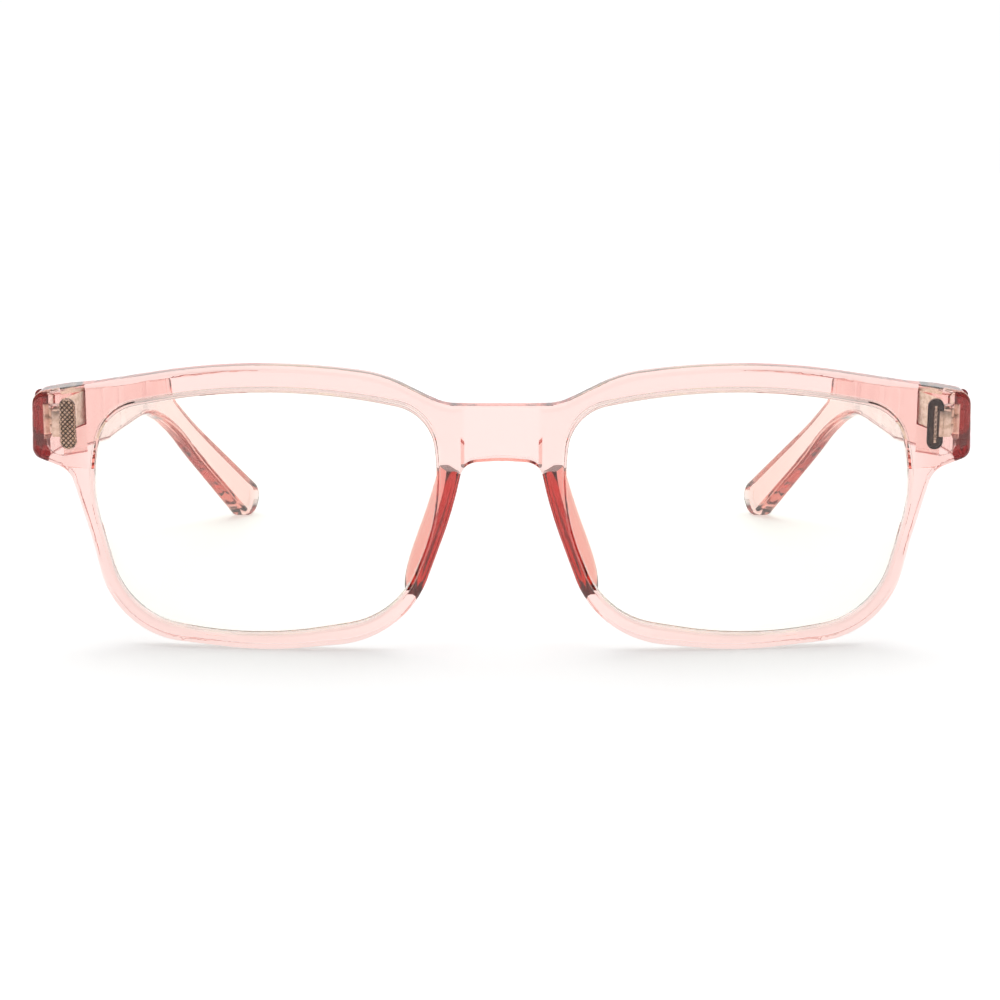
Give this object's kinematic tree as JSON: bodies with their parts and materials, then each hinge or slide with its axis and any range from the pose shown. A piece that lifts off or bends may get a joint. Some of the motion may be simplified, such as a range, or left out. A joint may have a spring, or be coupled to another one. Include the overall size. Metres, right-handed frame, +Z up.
{
  "type": "blue light glasses",
  "caption": "Clear tinted full-rim glasses with pale lenses, nose pads, embedded metal hinges and folding temples with bent ear tips.",
  "frame": {"origin": "centre of the box round the glasses as they stand open, at the surface they stand on", "axes": "+Z up, +X towards the wearer's left, +Y from the front back along the temples, so the front faces -Y"},
  "size_m": [0.1396, 0.1442, 0.0429],
  "materials": {
    "frame_plastic": "clear pink moulded plastic, polished",
    "nose_pad": "clear pink moulded plastic, polished",
    "lens": "clear resin with a faint yellow-green filter tint",
    "hinge_metal": "plated, knurled where it is moulded in",
    "screw": "bright plated"
  },
  "bodies": {
    "front": {"front_frame": "frame_plastic", "lens_left": "lens", "lens_right": "lens", "nose_pad_left": "nose_pad", "nose_pad_right": "nose_pad", "hinge_front_leaf_left": "hinge_metal", "hinge_front_leaf_right": "hinge_metal", "hinge_screw_left": "screw", "hinge_screw_right": "screw"},
    "left_temple": {"temple_left": "frame_plastic", "hinge_temple_leaf_left": "hinge_metal"},
    "right_temple": {"temple_right": "frame_plastic", "hinge_temple_leaf_right": "hinge_metal"}
  },
  "joints": [
    {"name": "left_temple_fold", "type": "hinge", "parent": "front", "child": "left_temple", "pos_m": [0.0663, -0.0582, 0.03382], "axis": [0, -0.0859, 0.9963], "range_deg": [0, 85]},
    {"name": "right_temple_fold", "type": "hinge", "parent": "front", "child": "right_temple", "pos_m": [-0.0663, -0.0582, 0.03382], "axis": [0, 0.0859, -0.9963], "range_deg": [0, 79]}
  ]
}
